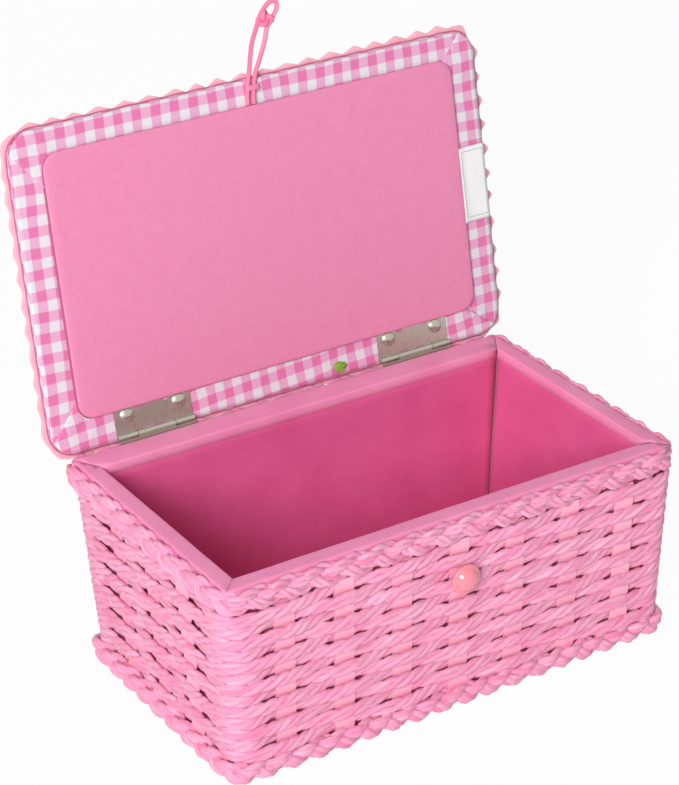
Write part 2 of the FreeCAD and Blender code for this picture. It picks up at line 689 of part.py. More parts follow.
def box_nodes():
    nodes = wall_nodes()
    for side in SIDES:
        nodes["stakes_" + side] = side_stakes(side)
    for row in range(WEAVE_ROWS):
        nodes["weave_row_%02d" % (row + 1)] = weave_row(row)
    nodes["top_braid"] = top_braid()
    nodes["foot_braid"] = foot_braid()
    nodes.update(button_nodes())
    for name, x in HINGES.items():
        nodes["hinge_body_leaf_" + name] = hinge_body_leaf(x)
        nodes["hinge_pin_" + name] = hinge_pin(x)
    nodes["hinge_screws"] = Part.makeCompound([screw(x, z, 0) for x, z in screw_places()])
    return nodes


os.makedirs("parts", exist_ok=True)
nodes = box_nodes()
for name, shape in lid_nodes().items():
    nodes[name] = opened(shape)
for name, shape in nodes.items():
    shape.exportStep("parts/" + name + ".step")
print(len(nodes), "nodes")
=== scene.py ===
import random
from math import copysign, cos, exp, pi, radians, sin, sqrt, tan

import bmesh
import bpy
from mathutils import Matrix, Vector, noise


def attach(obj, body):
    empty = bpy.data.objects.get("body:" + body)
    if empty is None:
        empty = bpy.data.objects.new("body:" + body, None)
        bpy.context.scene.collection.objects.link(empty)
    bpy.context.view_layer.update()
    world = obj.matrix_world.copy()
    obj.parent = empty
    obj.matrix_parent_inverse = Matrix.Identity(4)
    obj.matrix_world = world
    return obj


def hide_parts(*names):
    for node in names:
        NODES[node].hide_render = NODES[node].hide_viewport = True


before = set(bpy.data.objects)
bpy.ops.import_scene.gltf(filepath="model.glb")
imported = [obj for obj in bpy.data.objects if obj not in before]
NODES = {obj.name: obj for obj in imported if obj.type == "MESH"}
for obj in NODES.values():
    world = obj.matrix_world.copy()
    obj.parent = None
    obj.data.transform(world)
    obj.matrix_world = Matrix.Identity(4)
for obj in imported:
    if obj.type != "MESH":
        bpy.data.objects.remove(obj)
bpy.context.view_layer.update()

DICE = random.Random(12)
noise.seed_set(12)  # else noise_vector starts from the clock
UP = Vector((0, 0, 1))

# Sizes and places of the part, in millimetres and degrees
RIM_HEIGHT = 106.0
LONG, SHORT = 115.1, 61.2  # half of the space inside, at the rim
WALL_ANGLE = 2.63
RIM_WIDTH, HINGE_RIM_WIDTH = 8.4, 14.0
FLOOR_TOP = 5.6
STAKE_WIDTH, STAKE_PITCH, STAKE_DEPTH = 10.4, 31.6, 10.1
FLOAT_REACH = 6.75  # a row runs flat this far each side of a stake
WEAVE_BOTTOM, WEAVE_TOP, WEAVE_ROWS = 11.2, 91.4, 13
TOP_LAP = 1.4  # the top row reaches this far into the plait above it
ROW_PITCH = (WEAVE_TOP - WEAVE_BOTTOM + TOP_LAP) / WEAVE_ROWS
ROW_OUT, ROW_IN = 1.9, 1.6  # a row's middle from the stakes' middle, outside and inside
WEAVE_CORNER, CORNER_BULGE = 9.5, 1.2
LID_SIDE, LID_CORNER, LID_EDGE = 130.8, 13.0, 5.0
LID_START, LID_END = -1.6, 156.9  # along the lid, from the hinge line
LID_MIDDLE, LID_HALF = (LID_START + LID_END) / 2, (LID_END - LID_START) / 2
PANEL_SIDE, PANEL_START, PANEL_END, PANEL_CORNER = 114.8, 13.9, 144.5, 9.5
HINGE_LINE, LID_ABOVE_LINE, OPEN_ANGLE = (0, 78.3, 107.7), 1.6, 101.3
BEND = 159.8  # along the lid, where the elastic loop bends
STRAND_HEIGHT = -1.25
ELASTIC_RADIUS = 1.15
CHECK = 5.1  # side of a gingham square

PER_METRE = 1000
METRES = Matrix.Scale(1 / PER_METRE, 4)
# The lid is modelled flat, x across it, -y away from the hinge line, z out of its padded side
OPEN_LID = (Matrix.Translation(HINGE_LINE) @ Matrix.Rotation(radians(-OPEN_ANGLE), 4, "X")
            @ Matrix.Translation((0, 0, LID_ABOVE_LINE)))


def linked(name, data):
    """An object in the scene."""
    made = bpy.data.objects.new(name, data)
    bpy.context.scene.collection.objects.link(made)
    return made


def view_camera():
    """Camera at the photograph's place, in metres."""
    data = bpy.data.cameras.new("view")
    data.sensor_fit = "AUTO"
    data.sensor_width = 36.0
    data.lens = 123.98
    data.clip_start = 0.1
    camera = linked("view", data)
    right = Vector((0.84206, -0.53932, -0.00776))
    up = Vector((0.25252, 0.38147, 0.88922))
    back = Vector((-0.47662, -0.75074, 0.45741))
    turn = Matrix((right, up, back)).transposed().to_4x4()
    camera.matrix_world = Matrix.Translation((-0.62077, -0.94659, 0.72147)) @ turn
    bpy.context.scene.camera = camera


# Finishes. Sizes of grain are in millimetres: a UV map is in millimetres too, a shape's own frame in metres

def linear(code):
    """An sRGB hex colour as linear RGBA."""
    parts = [int(code[i:i + 2], 16) / 255 for i in (1, 3, 5)]
    return [p / 12.92 if p <= 0.04045 else ((p + 0.055) / 1.055) ** 2.4 for p in parts] + [1.0]


def node(tree, kind, sockets=(), **settings):
    """A shader node: settings are its options, and a socket takes a value or another node's output."""
    made = tree.nodes.new("ShaderNode" + kind)
    for name, value in settings.items():
        setattr(made, name, value)
    for name, value in dict(sockets).items():
        if isinstance(value, bpy.types.NodeSocket):
            tree.links.new(value, made.inputs[name])
        else:
            made.inputs[name].default_value = value
    return made


def bare_finish(name):
    """A finish with no nodes yet, and its tree."""
    finish = bpy.data.materials.new(name)
    finish.use_nodes = True
    finish.node_tree.nodes.clear()
    return finish, finish.node_tree


def own_place(tree):
    return node(tree, "TexCoord").outputs["Object"]


def uv_place(tree):
    return node(tree, "UVMap").outputs["UV"]


def stretched(place, sizes, unit=1, turn=0.0):
    """A place counted in grains of these sizes, on a lay turned by some degrees."""
    return node(place.id_data, "Mapping", {
        "Vector": place, "Rotation": (0, 0, radians(turn)),
        "Scale": tuple(unit / size for size in sizes)}).outputs["Vector"]


def grain(place, scale, detail, roughness=0.5):
    return node(place.id_data, "TexNoise", {
        "Vector": place, "Scale": scale, "Detail": detail, "Roughness": roughness}).outputs["Fac"]


def bands(place, direction, scale, distortion=0.0, detail=2.0):
    return node(place.id_data, "TexWave", {
        "Vector": place, "Scale": scale, "Distortion": distortion, "Detail": detail},
        wave_type="BANDS", bands_direction=direction).outputs["Fac"]


def summed(first, second):
    return node(first.id_data, "Math", {0: first, 1: second}, operation="ADD").outputs[0]


def ranged(value, low, high, to_low=0.0, to_high=1.0):
    """A value's place between two limits, carried over to two others."""
    return node(value.id_data, "MapRange", {
        "Value": value, "From Min": low, "From Max": high,
        "To Min": to_low, "To Max": to_high}).outputs["Result"]


def blend(share, first, second):
    """Colour between two others, each a hex code or a socket."""
    ends = [linear(end) if isinstance(end, str) else end for end in (first, second)]
    return node(share.id_data, "Mix", {0: share, 6: ends[0], 7: ends[1]}, data_type="RGBA").outputs[2]


def relief(height, strength, depth):
    return node(height.id_data, "Bump", {
        "Height": height, "Strength": strength, "Distance": depth / PER_METRE}).outputs["Normal"]


def surface(finish, colour, roughness, normal=None, sheen=0.0, **more):
    """Closes a finish with one surface."""
    sockets = {"Base Color": colour, "Roughness": roughness, "Sheen Weight": sheen, **more}
    if normal is not None:
        sockets["Normal"] = normal
    shader = node(finish.node_tree, "BsdfPrincipled", sockets)
    node(finish.node_tree, "OutputMaterial", {"Surface": shader.outputs["BSDF"]})
    return finish


def twisted_paper_cord():
    """Dyed kraft paper spun to a cord: soft and matt, with creases along each ply; the crease height also sets the
    colour, a painted highlight on their ridges and painted shade in their grooves.
    """
    finish, tree = bare_finish("twisted_paper_cord")
    place = uv_place(tree)
    # Creases 0.5 mm apart and about 9 mm long, in dye patches about 25 mm long
    creases = grain(stretched(place, (9, 0.5, 1)), 1.0, 3.0, 0.6)
    patches = grain(stretched(place, (25, 4, 1)), 1.0, 1.0)
    # The colour share follows the crease height, which paints highlight on the ridges and shade in the grooves, plus
    # the random dye patches
    share = ranged(summed(creases, patches), 0.7, 1.3)
    colour = blend(share, "#F982B2", "#FFBEDA")
    return surface(finish, colour, 0.6, relief(creases, 1.0, 0.7), sheen=0.15)


def dyed_splint():
    """Flat dyed wood splint of the stakes: paler than the cord, with upright grain."""
    finish, tree = bare_finish("dyed_wood_splint")
    # Grain 0.7 mm wide and about 30 mm tall
    fibres = grain(stretched(own_place(tree), (0.7, 0.7, 30), PER_METRE), 1.0, 2.0)
    return surface(finish, blend(fibres, "#FBA3C4", "#FFBFD4"), 0.55, relief(fibres, 0.4, 0.2))


def covering_cloth(name, deep, pale):
    """Non-woven covering cloth glued on board: matt, with a short fibre grain and slight clouds in the dye."""
    finish, tree = bare_finish(name)
    place = own_place(tree)
    # Fibres are about 0.1 mm wide; drawn 0.5 mm wide and 2 mm long to show. Clouds of 22 mm
    fibres = grain(stretched(place, (2, 0.5, 0.5), PER_METRE), 1.0, 4.0, 0.65)
    clouds = grain(place, PER_METRE / 22, 2.0)
    share = ranged(summed(fibres, clouds), 0.7, 1.3)
    return surface(finish, blend(share, deep, pale), 0.75, relief(fibres, 0.25, 0.2), sheen=0.1)


def gingham_cotton():
    """Yarn-dyed gingham: white, half-tone and full squares where two sets of stripes cross, threads just showing."""
    finish, tree = bare_finish("gingham_cotton")
    place = uv_place(tree)
    # A stripe and a gap make one wave, with a soft edge of a thread or two. The texture has 20 radians in a unit
    scale = 2 * pi / 20 / (2 * CHECK)
    warp, weft = (ranged(bands(place, way, scale), 0.42, 0.58) for way in ("X", "Y"))
    dyed = summed(warp, weft)
    half, full = ranged(dyed, 0.0, 1.0), ranged(dyed, 1.0, 2.0)
    pale = blend(half, "#E4E0E5", "#E5ABCB")
    # Threads are 0.25 mm apart; drawn 0.6 mm apart to show
    thread_place = stretched(place, (0.6, 0.6, 1))
    threads = node(tree, "TexChecker", {"Vector": thread_place, "Scale": 1.0}).outputs["Fac"]
    weave = summed(threads, grain(thread_place, 0.8, 2.0))
    return surface(finish, blend(full, pale, "#E377AC"), 0.8, relief(weave, 0.25, 0.2), sheen=0.1)


def pressed_felt():
    """Pressed felt: no weave, a mat of short fibres that lie every way, with a faint nap."""
    finish, tree = bare_finish("pressed_felt")
    place = own_place(tree)
    # Fibre tufts about 0.6 mm across, in clumps of 5 mm
    tufts = grain(place, PER_METRE / 0.6, 4.0, 0.7)
    clumps = grain(place, PER_METRE / 5, 3.0)
    both = node(tree, "Math", {0: clumps, 1: 0.15, 2: tufts}, operation="MULTIPLY_ADD").outputs[0]
    share = ranged(both, 0.35, 0.8)
    colour = blend(share, "#E27CA2", "#EE97BF")
    return surface(finish, colour, 0.9, relief(tufts, 0.35, 0.3), sheen=0.2, **{"Sheen Roughness": 0.5})


def braided_trim(name, deep, pale, spacing):
    """Flat or round braid of cotton or elastic: matt yarns that cross on the slant, with a small relief."""
    finish, tree = bare_finish(name)
    lay = stretched(uv_place(tree), (spacing, spacing, 1), turn=40)
    yarns = bands(lay, "X", 0.31, distortion=0.6, detail=1.0)
    both = summed(yarns, grain(lay, 1.3, 2.0))
    colour = blend(ranged(both, 0.4, 1.6), deep, pale)
    return surface(finish, colour, 0.7, relief(both, 0.4, 0.2), sheen=0.1)


def nickel_plate():
    """Nickel-plated pressed steel: warm grey metal with fine rolling lines, under a dull handled film."""
    finish, tree = bare_finish("nickel_plated_steel")
    place = own_place(tree)
    # Rolling lines 0.3 mm apart and 8 mm long, dull patches of 4 mm
    lines = grain(stretched(place, (8, 0.3, 0.3), PER_METRE), 1.0, 2.0)
    dull = grain(place, PER_METRE / 4, 3.0)
    colour, roughness = blend(dull, "#ADAC9D", "#C0BFB0"), ranged(dull, 0.3, 0.7, 0.26, 0.3)
    return surface(finish, colour, roughness, relief(lines, 0.02, 0.1), Metallic=0.75)


def cast_acrylic():
    """Moulded acrylic button: pink and a little cloudy inside, with a glossy face."""
    finish, tree = bare_finish("moulded_acrylic")
    # Clouds about 3 mm across
    clouds = grain(own_place(tree), PER_METRE / 3, 2.0)
    return surface(finish, blend(clouds, "#EC7A8C", "#F79DA8"), 0.18, IOR=1.49, **{
        "Subsurface Weight": 0.3, "Subsurface Radius": (1.0, 0.4, 0.4), "Subsurface Scale": 0.003,
        "Coat Weight": 0.3})


def spun_thread(name, deep, pale):
    """Sewing thread or ribbon yarn: fine twist along it, slightly glossy."""
    finish, tree = bare_finish(name)
    # Twist is 0.2 mm; drawn 0.5 mm to show
    twist = grain(own_place(tree), PER_METRE / 0.5, 2.0)
    return surface(finish, blend(twist, deep, pale), 0.5, relief(twist, 0.3, 0.2))


def pulp_board(name, deep, pale):
    """Pressed pulp board and rails under the covers, and the panel's card: dull, with flecks, and dyed; the card's
    dark colours are painted shade for the gap under the felt's edge.
    """
    finish, tree = bare_finish(name)
    # Flecks about 1 mm across
    flecks = grain(own_place(tree), PER_METRE / 1, 3.0)
    return surface(finish, blend(flecks, deep, pale), 0.9)


CORD = twisted_paper_cord()
SPLINT = dyed_splint()
# The lining and the binding are one cloth: the lining's colours are drawn deeper as painted shade for the inside of
# the box
LINING = covering_cloth("lining_cloth_painted_shade", "#D8508B", "#E36099")
BINDING = covering_cloth("binding_cloth", "#F088B6", "#F89CC4")
GINGHAM = gingham_cotton()
FELT = pressed_felt()
RICK_RACK = braided_trim("rick_rack_braid", "#F6A9BC", "#FFC0CE", 0.8)
ELASTIC = braided_trim("covered_elastic", "#F5709C", "#FF92B4", 0.7)
NICKEL = nickel_plate()
ACRYLIC = cast_acrylic()
PINK_THREAD = spun_thread("pink_sewing_thread", "#E8739F", "#F9A3C3")
# Dark thread for the line inside the rick-rack: painted shadow of the gap at the trim's edge
SHADOW_LINE_THREAD = spun_thread("painted_shadow_line_thread", "#C4547E", "#D66C94")
GREEN_THREAD = spun_thread("green_sewing_thread", "#5E8A1E", "#93C23C")
WHITE_RIBBON = spun_thread("white_satin_ribbon", "#EDEDEE", "#FAFAFA")
GREY_THREAD = spun_thread("grey_sewing_thread", "#9FA8AC", "#C3CACC")
BOARD = pulp_board("dyed_pulp_board", "#C94A78", "#DB6C94")
# The panel's card is drawn dark, a painted shadow for the gap under the felt's edge
SHADE_CARD = pulp_board("panel_card_painted_shade", "#A04A6E", "#B56283")


# Making and placing

def mesh_from(name, bm):
    mesh = bpy.data.meshes.new(name)
    bm.to_mesh(mesh)
    bm.free()
    return mesh


def piece(name, shape, finish, body, stands_for=(), sharp=None):
    """A finished piece. Its shape is in millimetres, in the box's frame, or the flat lid's for the other bodies."""
    mesh = mesh_from(name, shape) if isinstance(shape, bmesh.types.BMesh) else shape
    if body != "box":
        mesh.transform(OPEN_LID)
    mesh.transform(METRES)
    mesh.materials.clear()
    mesh.materials.append(finish)
    mesh.shade_smooth()
    if sharp:
        mesh.set_sharp_from_angle(angle=radians(sharp))
    made = linked(name, mesh)
    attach(made, body)
    if stands_for:
        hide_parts(*stands_for)
    return made


def thickened(made, thickness, kind="cloth"):
    """Gives a sheet its thickness, in millimetres."""
    made.modifiers.new(kind, "SOLIDIFY").thickness = thickness / PER_METRE


def faced(bm):
    """Turns a shape's faces outwards."""
    bmesh.ops.recalc_face_normals(bm, faces=bm.faces)


def unit_grid(columns, rows):
    """Flat grid of one millimetre square about the origin."""
    bm = bmesh.new()
    bmesh.ops.create_grid(bm, x_segments=columns, y_segments=rows, size=0.5)
    return bm


def chain(bm, points, closed=False):
    """Vertices at points, and the edges that join them."""
    verts = [bm.verts.new(point) for point in points]
    return verts, [bm.edges.new(pair) for pair in zip(verts, verts[1:] + verts[:closed])]


def open_edges(bm):
    return [edge for edge in bm.edges if edge.is_boundary]


def extruded(bm, edges):
    """Extrudes edges, and gives the new vertices and edges."""
    grown = bmesh.ops.extrude_edge_only(bm, edges=edges)["geom"]
    return [[part for part in grown if isinstance(part, kind)] for kind in (bmesh.types.BMVert, bmesh.types.BMEdge)]


def cut_off(bm, place, normal, dist):
    """Cuts a shape along a plane, and drops what lies on the normal's side."""
    bmesh.ops.bisect_plane(bm, geom=bm.verts[:] + bm.edges[:] + bm.faces[:], dist=dist,
                           plane_co=place, plane_no=normal, clear_outer=True)


def line_data(lines, cyclic, kind, radius=0.0, sides=2):
    """Curve with one spline for each line, order 3 where it is a NURBS."""
    data = bpy.data.curves.new("line", "CURVE")
    data.dimensions = "3D"
    data.resolution_u = 8
    data.bevel_depth = radius
    data.bevel_resolution = sides
    data.use_fill_caps = not cyclic
    for points in lines:
        spline = data.splines.new(kind)
        spline.points.add(len(points) - 1)
        for point, place in zip(spline.points, points):
            point.co = (*place, 1)
        spline.use_cyclic_u = cyclic
        if kind == "NURBS":
            spline.order_u = 3
            spline.use_endpoint_u = not cyclic
    return data


def mesh_of(data):
    """Mesh of a curve: a tube where it has a bevel, else its line of vertices."""
    holder = linked("line", data)
    shaped = holder.evaluated_get(bpy.context.evaluated_depsgraph_get())
    mesh = bpy.data.meshes.new_from_object(shaped)
    bpy.data.objects.remove(holder)
    return mesh


def smooth_line(points, cyclic=True):
    """Vertices of the NURBS line that a route's points control, in order."""
    return [vertex.co.copy() for vertex in mesh_of(line_data([points], cyclic, "NURBS")).vertices]


def length_of(line):
    return sum((b - a).length for a, b in zip(line, line[1:]))


def tubes(lines, radius, cyclic=True, kind="POLY", sides=2):
    """Tubes along lines, with a UV map in millimetres along and around them."""
    mesh = mesh_of(line_data(lines, cyclic, kind, radius, sides))
    length = length_of(lines[0])
    for corner in mesh.uv_layers[0].data:
        corner.uv = (corner.uv[0] * length, corner.uv[1] * 2 * pi * radius)
    return mesh


def stitch(start, step, rise):
    """Points of one stitch: down, up at its middle and down again."""
    start, step = Vector(start), Vector(step)
    return [start, start + step / 2 + UP * rise, start + step]


def even_places(points, step):
    """Even places round a closed level line: point, outward direction and share of the way round."""
    closed = points + points[:1]
    lengths = [(b - a).length for a, b in zip(closed, closed[1:])]
    total = sum(lengths)
    count = round(total / step)
    places, index, gone = [], 0, 0.0
    for number in range(count):
        target = total * number / count
        while gone + lengths[index] < target:
            gone += lengths[index]
            index += 1
        a, b = closed[index], closed[index + 1]
        point = a.lerp(b, (target - gone) / lengths[index])
        places.append((point, (b - a).cross(UP).normalized(), number / count))
    return places, total


def lean(z):
    """How far the walls are set in at a height."""
    return tan(radians(WALL_ANGLE)) * (RIM_HEIGHT - z)


SIDES = {"front": (0, -1), "right": (1, 0), "back": (0, 1), "left": (-1, 0)}
LONG_SIDES = ("front", "back")


def side_axes(side):
    """Outward and along directions of a side, going round the box anticlockwise."""
    outward = Vector((*SIDES[side], 0))
    return outward, Vector((-outward.y, outward.x, 0))


def side_halves(side):
    """Half of the space inside across a side and along it."""
    return (SHORT, LONG) if side in LONG_SIDES else (LONG, SHORT)


# Woven body

PLY_PITCH, STRAND_PITCH = 26.0, 22  # a ply goes once round its row or its strand in this length
PLY_RADIUS = 1.75
PLY_RISE, PLY_DEPTH, STRAND_DEPTH = 1.95, 0.45, 0.5
STEP = 1.7  # between the rings of a ply
SIDEWAYS_LEAN, TRUE_HEIGHT = 0.03, 98  # the woven walls stand askew below this height
CREASE, CREASE_SIZE = 0.27, 2.2
DYE_PLY, DYE_ROW = 61.7, 13.1  # shift of the dye from ply to ply, and for each millimetre of height


def stake_places(side):
    steps = 3 if side in LONG_SIDES else 1
    return [step * STAKE_PITCH for step in range(-steps, steps + 1)]


def quarter_round(middle, outward, along, radius, steps):
    return [middle + (outward * cos(pi / 8 * step) + along * sin(pi / 8 * step)) * radius for step in steps]


def row_height(row):
    return WEAVE_BOTTOM + (row + 0.5) * ROW_PITCH


def row_route(row):
    """Route of one woven row: outside and inside the stakes by turns, round at the corners."""
    z = row_height(row)
    points, count = [], 0
    for side in SIDES:
        outward, along = side_axes(side)
        across, half = (value + STAKE_DEPTH - lean(z) for value in side_halves(side))
        for place in stake_places(side):
            shift = ROW_OUT if (count + row) % 2 == 0 else -ROW_IN
            for edge in (-FLOAT_REACH, FLOAT_REACH):
                points.append(outward * (across + shift) + along * (place + edge) + UP * z)
            count += 1
        middle = outward * (across - WEAVE_CORNER) + along * (half - WEAVE_CORNER) + UP * z
        points += quarter_round(middle, outward, along, WEAVE_CORNER + CORNER_BULGE, range(5))
    return points


def set_askew(vertices):
    for vertex in vertices:
        vertex.co.x += SIDEWAYS_LEAN * (TRUE_HEIGHT - vertex.co.z)


def crumpled(mesh, lines, outwards, share):
    """Presses the plies along lines flat, so each ring keeps a share of its depth, and creases them as paper is."""
    ring = len(mesh.vertices) // sum(len(line) for line in lines)
    centres = [centre for line in lines for centre in zip(line, outwards)]
    for index, vertex in enumerate(mesh.vertices):
        centre, outward = centres[index // ring]
        crease = noise.noise_vector(vertex.co / CREASE_SIZE) * CREASE
        vertex.co += crease - outward * ((vertex.co - centre).dot(outward) * (1 - share))
    # Each ply has its own stretch of the dye, so no bands run up the walls
    lay = mesh.uv_layers[0].data
    for face in mesh.polygons:
        ply = face.index * len(lines) // len(mesh.polygons)
        for corner in face.loop_indices:
            lay[corner].uv.x += DYE_PLY * ply + DYE_ROW * lines[0][0].z


def woven_row(row):
    """One row: three paper plies twisted round each other, spread where they pass outside a stake."""
    places, total = even_places(smooth_line(row_route(row)), STEP)
    turns = round(total / PLY_PITCH)
    start = DICE.random()
    lines = []
    for ply in range(3):
        line = []
        for point, outward, share in places:
            sway = noise.noise(Vector((point.x / 23, point.y / 23, row * 3.7)))
            past = max(abs(point.x) - LONG, abs(point.y) - SHORT) - STAKE_DEPTH + lean(row_height(row))
            rise = PLY_RISE + 0.05 * past
            phase = 2 * pi * (share * turns + ply / 3 + start + 0.35 * sway)
            line.append(point + UP * (rise * sin(phase) + 0.4 * sway) + outward * (PLY_DEPTH * cos(phase)))
        lines.append(line)
    mesh = tubes(lines, PLY_RADIUS)
    crumpled(mesh, lines, [outward for _, outward, _ in places], 0.65)
    set_askew(mesh.vertices)
    name = f"weave_row_{row + 1:02d}"
    piece("woven_" + name, mesh, CORD, "box", [name])


def border_route(half_x, front, back, corner, z):
    """Route round the box with square sides and rounded corners."""
    points = []
    for side in SIDES:
        outward, along = side_axes(side)
        reach = {"front": -front, "back": back}.get(side, half_x)
        start, end = {"right": (front, back), "left": (-back, -front)}.get(side, (-half_x, half_x))
        steps = 12 if side in LONG_SIDES else 7
        for step in range(steps + 1):
            place = start + corner + (end - start - 2 * corner) * (step / steps)
            points.append(outward * reach + along * place + UP * z)
        middle = outward * (reach - corner) + along * (end - corner) + UP * z
        points += quarter_round(middle, outward, along, corner, range(1, 4))
    return points


def plies_of(line, outwards, start, spread):
    """Three plies twisted along one strand of a border, lying flatter than round."""
    turns = round(length_of(line + line[:1]) / STRAND_PITCH)
    plies = []
    for ply in range(3):
        points = []
        for index, (point, outward) in enumerate(zip(line, outwards)):
            ahead = (line[(index + 1) % len(line)] - point).normalized()
            phase = 2 * pi * (index / len(line) * turns + ply / 3 + start)
            points.append(point + outward * (STRAND_DEPTH * cos(phase))
                          + outward.cross(ahead) * (-spread * sin(phase)))
        plies.append(points)
    return plies


def plait(route, pitch, rise, depth, spread, radius):
    """Plait of three strands round the box, each of three plies."""
    places, total = even_places(smooth_line(route), STEP)
    outwards = [outward for _, outward, _ in places]
    turns = round(total / pitch)
    lines = []
    for strand in range(3):
        line = []
        for point, outward, share in places:
            sway = noise.noise(Vector((point.x / 31, point.y / 31, point.z)))
            phase = 2 * pi * (share * turns + strand / 3 + 0.05 * sway)
            line.append(point + UP * (rise * sin(phase)) + outward * (depth * sin(2 * phase)))
        lines += plies_of(line, outwards, DICE.random(), spread)
    mesh = tubes(lines, radius)
    crumpled(mesh, lines, outwards, 0.8)
    return mesh


def top_plait():
    """Plait under the rim, lapping its edge, thinner behind the lid."""
    route = border_route(half_x=125.5, front=-71.6, back=79.6, corner=10.0, z=99.6)
    mesh = plait(route, pitch=48, rise=3.6, depth=1.3, spread=1.75, radius=1.45)
    thin_from, kept = 76.3, 0.4
    for vertex in mesh.vertices:
        if vertex.co.y > thin_from:
            vertex.co.y = thin_from + (vertex.co.y - thin_from) * kept
    piece("plaited_border", mesh, CORD, "box", ["top_braid"])


def foot_plait():
    """Fuller plait that the box stands on, askew with the walls."""
    route = border_route(half_x=121.8, front=-67.9, back=67.9, corner=7.0, z=6.4)
    mesh = plait(route, pitch=42, rise=2.6, depth=2.0, spread=1.5, radius=1.85)
    sideways, longer = 2.1, 0.006
    for vertex in mesh.vertices:
        vertex.co.x += sideways + vertex.co.x * longer
    piece("plaited_foot", mesh, CORD, "box", ["foot_braid"])


def stakes(side):
    """Upright splints of one side, bowed in and out by the rows."""
    outward, along = side_axes(side)
    across = side_halves(side)[0]
    end = 2.0  # past the weave, above and below
    bm = bmesh.new()
    for number, place in enumerate(stake_places(side)):
        made = bmesh.ops.create_grid(bm, x_segments=2, y_segments=4 * WEAVE_ROWS, size=0.5)["verts"]
        for vertex in made:
            z = WEAVE_BOTTOM - end + (vertex.co.y + 0.5) * (WEAVE_TOP - WEAVE_BOTTOM + 2 * end)
            bow = 0.35 * cos(pi * ((z - WEAVE_BOTTOM) / ROW_PITCH - 0.5)) * (1 if number % 2 else -1)
            vertex.co = (outward * (across + STAKE_DEPTH - lean(z) + bow)
                         + along * (place + vertex.co.x * STAKE_WIDTH) + UP * z)
    set_askew(bm.verts)
    faced(bm)
    bmesh.ops.solidify(bm, geom=bm.faces[:], thickness=1.0)
    faced(bm)
    piece("splints_" + side, bm, SPLINT, "box", ["stakes_" + side], sharp=50)


# Rim and linings

# Cross-section of a binding as (depth, height): the inner fold from the rim's inner edge, the outer one from its outer
INNER_FOLD = [(0.1, 100.4), (-0.4, 100.7), (-0.5, 103.2), (-0.45, 105.0), (-0.3, 105.6), (0.0, 105.95),
              (0.5, 106.08), (1.2, 106.12)]
RIM_CROWN = 106.1
OUTER_FOLD = [(-1.5, 106.06), (-0.9, 106.0), (-0.4, 105.8), (-0.1, 105.4), (0.0, 104.8), (0.0, 99.5)]
MITRE_SPARE = 20  # length that the mitres cut away at each end
MITRE_LAP = 0.12
LINING_TOP, LINING_TUCK = 101.9, 0.6


def rim_width(side):
    return HINGE_RIM_WIDTH if side == "back" else RIM_WIDTH


def rim_binding(side):
    """Cloth folded over one rail: a rolled inner edge, a flat top, and mitred ends."""
    outward, along = side_axes(side)
    across, half = side_halves(side)
    width = rim_width(side)
    profile = [*INNER_FOLD, (width / 2, RIM_CROWN), *((width + depth, z) for depth, z in OUTER_FOLD)]
    reach, steps = half + MITRE_SPARE, 30
    bm = bmesh.new()
    edges = chain(bm, [outward * (across + depth) + along * -reach + UP * z for depth, z in profile])[1]
    for _ in range(steps):
        verts, edges = extruded(bm, edges)
        bmesh.ops.translate(bm, vec=along * (reach * 2 / steps), verts=verts)
    names = list(SIDES)
    for end in (-1, 1):
        next_width = rim_width(names[(names.index(side) + end) % len(names)])
        mitre = (outward * width + along * (end * next_width)).normalized()
        normal = along * end - mitre * (along * end).dot(mitre)
        cut_off(bm, outward * across + along * (end * (half - MITRE_LAP)), normal, dist=1e-5)
    for vertex in bm.verts:
        vertex.co.z += 0.12 * noise.noise(vertex.co / 14)
    faced(bm)
    if sum(face.normal.z for face in bm.faces) < 0:
        bmesh.ops.reverse_faces(bm, faces=bm.faces)
    made = piece("binding_" + side, bm, BINDING, "box", ["rim_binding_" + side])
    thickened(made, 0.4)


def binding_stitches():
    """Row of stitches along the inner edge of the back binding."""
    first, pitch, length = -112, 2.3, 1.5
    lines = [stitch((first + number * pitch, SHORT + 1.7, 105.95), (length, 0, 0), 0.19) for number in range(98)]
    mesh = tubes(lines, 0.2, cyclic=False, sides=1)
    piece("binding_stitches", mesh, PINK_THREAD, "box")


def wall_lining(side):
    """Covering cloth on one inside wall, tucked under the rolled edge of the rim."""
    outward, along = side_axes(side)
    across, half = side_halves(side)
    slack = 3.0 if side == "right" else 0.0
    bm = unit_grid(40, 20)
    for vertex in bm.verts:
        height = vertex.co.y + 0.5
        z = FLOOR_TOP - LINING_TUCK + height * (LINING_TOP - FLOOR_TOP + LINING_TUCK)
        set_in = lean(z) + slack * (1 - height) - 0.15
        ripple = 0.35 * noise.noise(Vector((vertex.co.x * 5, height * 2.5, across)))
        vertex.co = outward * (across - set_in + ripple) + along * (vertex.co.x * 2 * (half - lean(z))) + UP * z
    faced(bm)
    made = piece("wall_cloth_" + side, bm, LINING, "box", ["lining_" + side])
    thickened(made, 0.5)


def floor_pad():
    """Thin padded floor, soft at its edge."""
    half_x, half_y = (half - lean(FLOOR_TOP) - 0.4 for half in (LONG, SHORT))
    edge_drop, edge_width, pad = 0.8, 3, 1.4
    bm = unit_grid(44, 24)
    for vertex in bm.verts:
        x, y = vertex.co.x * 2 * half_x, vertex.co.y * 2 * half_y
        edge = min(half_x - abs(x), half_y - abs(y))
        wave = 0.15 * noise.noise(Vector((x, y, 0)) / 40)
        vertex.co = (x, y, FLOOR_TOP - edge_drop * exp(-edge / edge_width) + wave)
    for vertex in extruded(bm, open_edges(bm))[0]:
        vertex.co.z = FLOOR_TOP - pad
    bmesh.ops.holes_fill(bm, edges=open_edges(bm))
    faced(bm)
    piece("floor_pad", bm, LINING, "box", ["floor_lining"])


# Closing button

